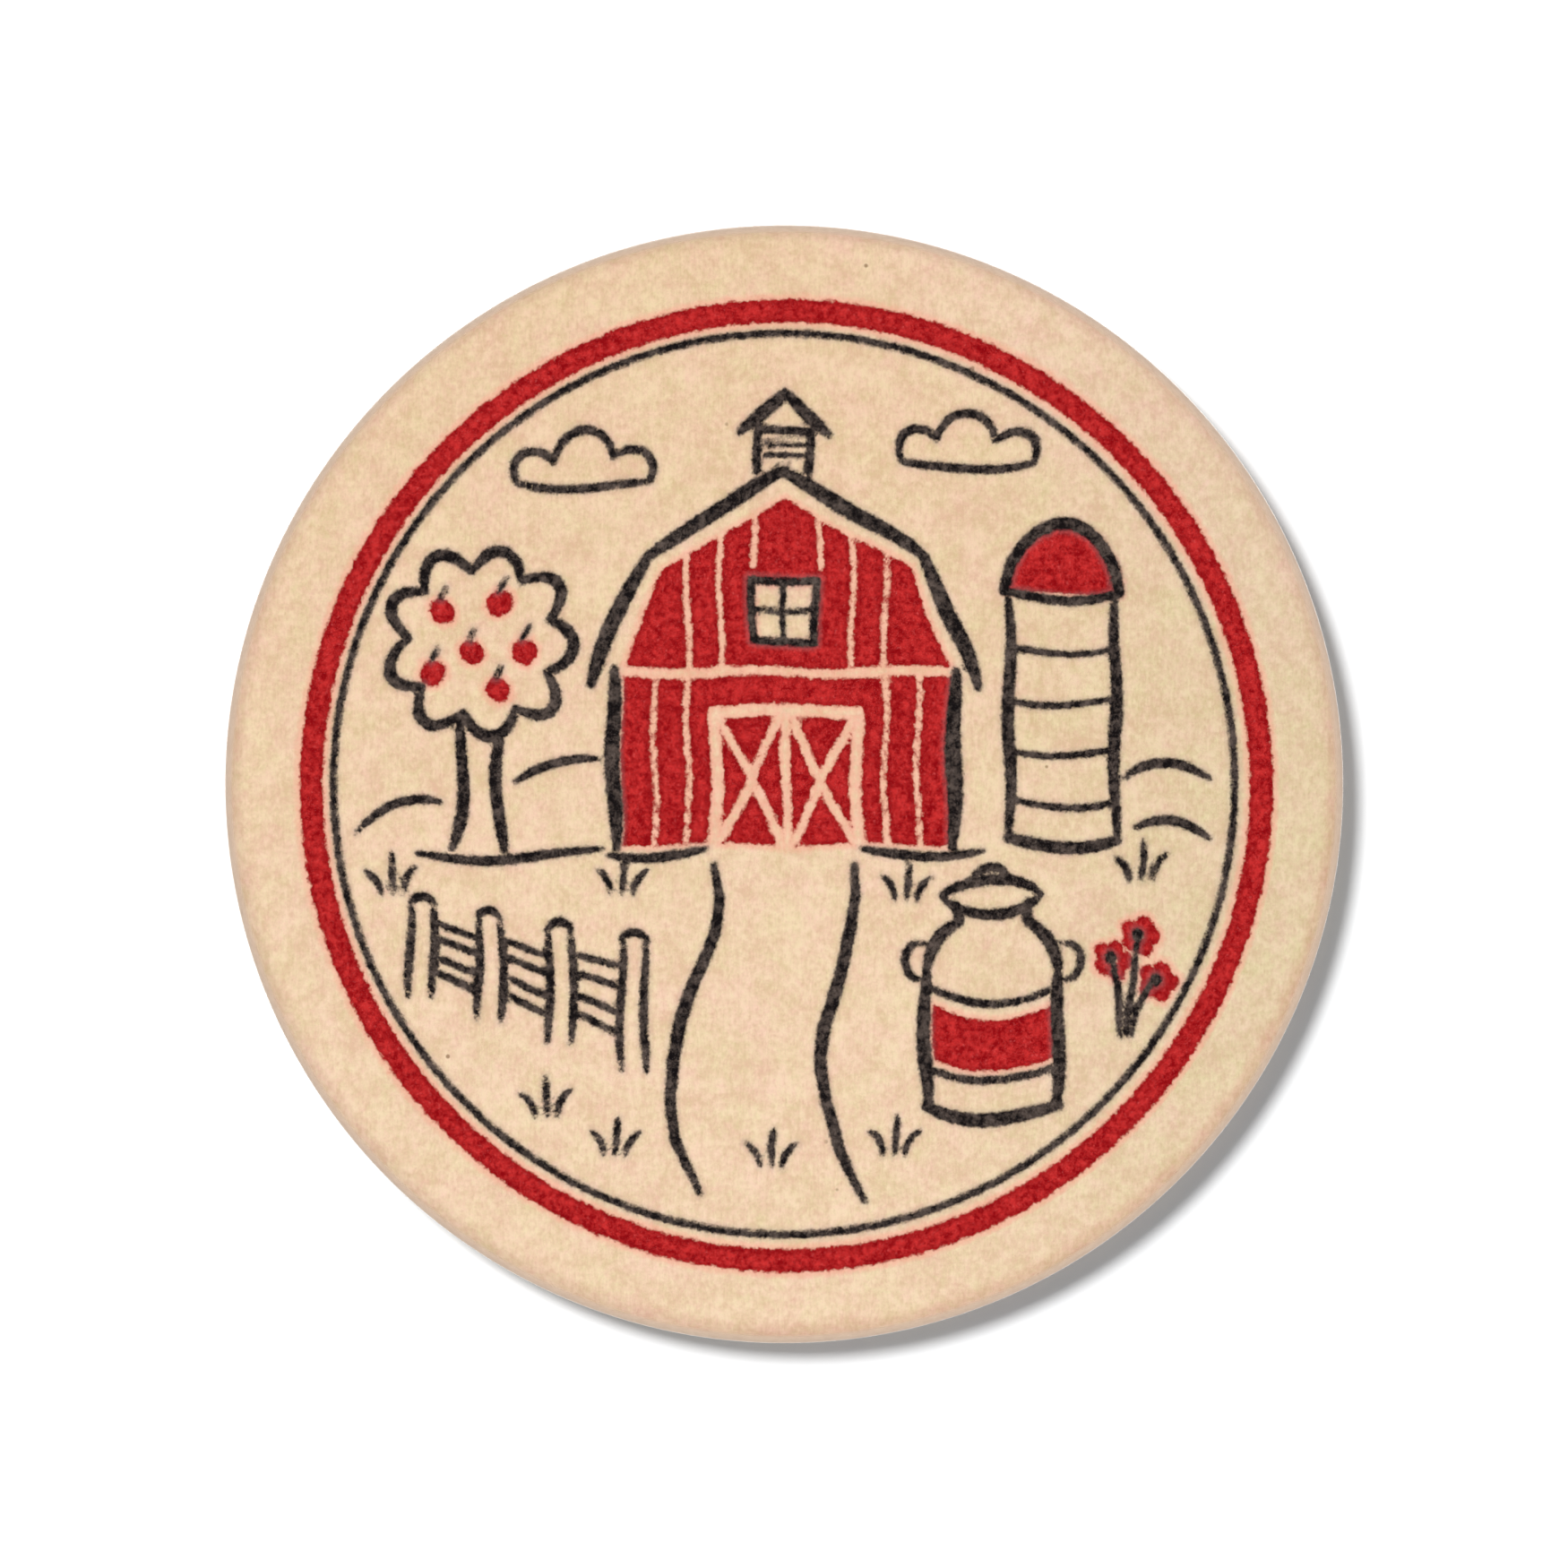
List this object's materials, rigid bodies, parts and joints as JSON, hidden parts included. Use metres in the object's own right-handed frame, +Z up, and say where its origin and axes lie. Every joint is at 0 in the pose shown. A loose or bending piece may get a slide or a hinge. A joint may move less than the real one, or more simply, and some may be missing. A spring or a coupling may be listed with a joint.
{
  "type": "pin-back button badge",
  "caption": "Round pin-back button: printed paper under clear film, pressed over a crowned tin shell, with a channelled collet behind that holds a spring wire pin.",
  "frame": {"origin": "on the badge's axis, in the plane of the collet's rear face, where the garment lies", "axes": "+Y backwards out of the badge towards the garment, +Z up as worn, face towards -Y"},
  "size_m": [0.0572, 0.005, 0.0572],
  "materials": {
    "film": "clear satin",
    "paper": "aged uncoated, printed in two inks",
    "tinplate": "dull tinned steel",
    "spring_wire": "drawn spring steel"
  },
  "bodies": {
    "badge": {"clear_film": "film", "printed_paper": "paper", "front_shell": "tinplate", "back_collet": "tinplate"},
    "spring": {"spring_ring": "spring_wire"},
    "pin": {"pin_arm": "spring_wire"}
  },
  "joints": [
    {"name": "ring_turn", "type": "hinge", "parent": "badge", "child": "spring", "pos_m": [0, -0.00083, 0], "axis": [0, 1, 0], "continuous": true},
    {"name": "pin_flex", "type": "hinge", "parent": "spring", "child": "pin", "pos_m": [-0.02419, -0.00083, 0], "axis": [0, 0, 1], "range_deg": [0, 30], "stiffness_Nm_per_rad": 0.02}
  ]
}
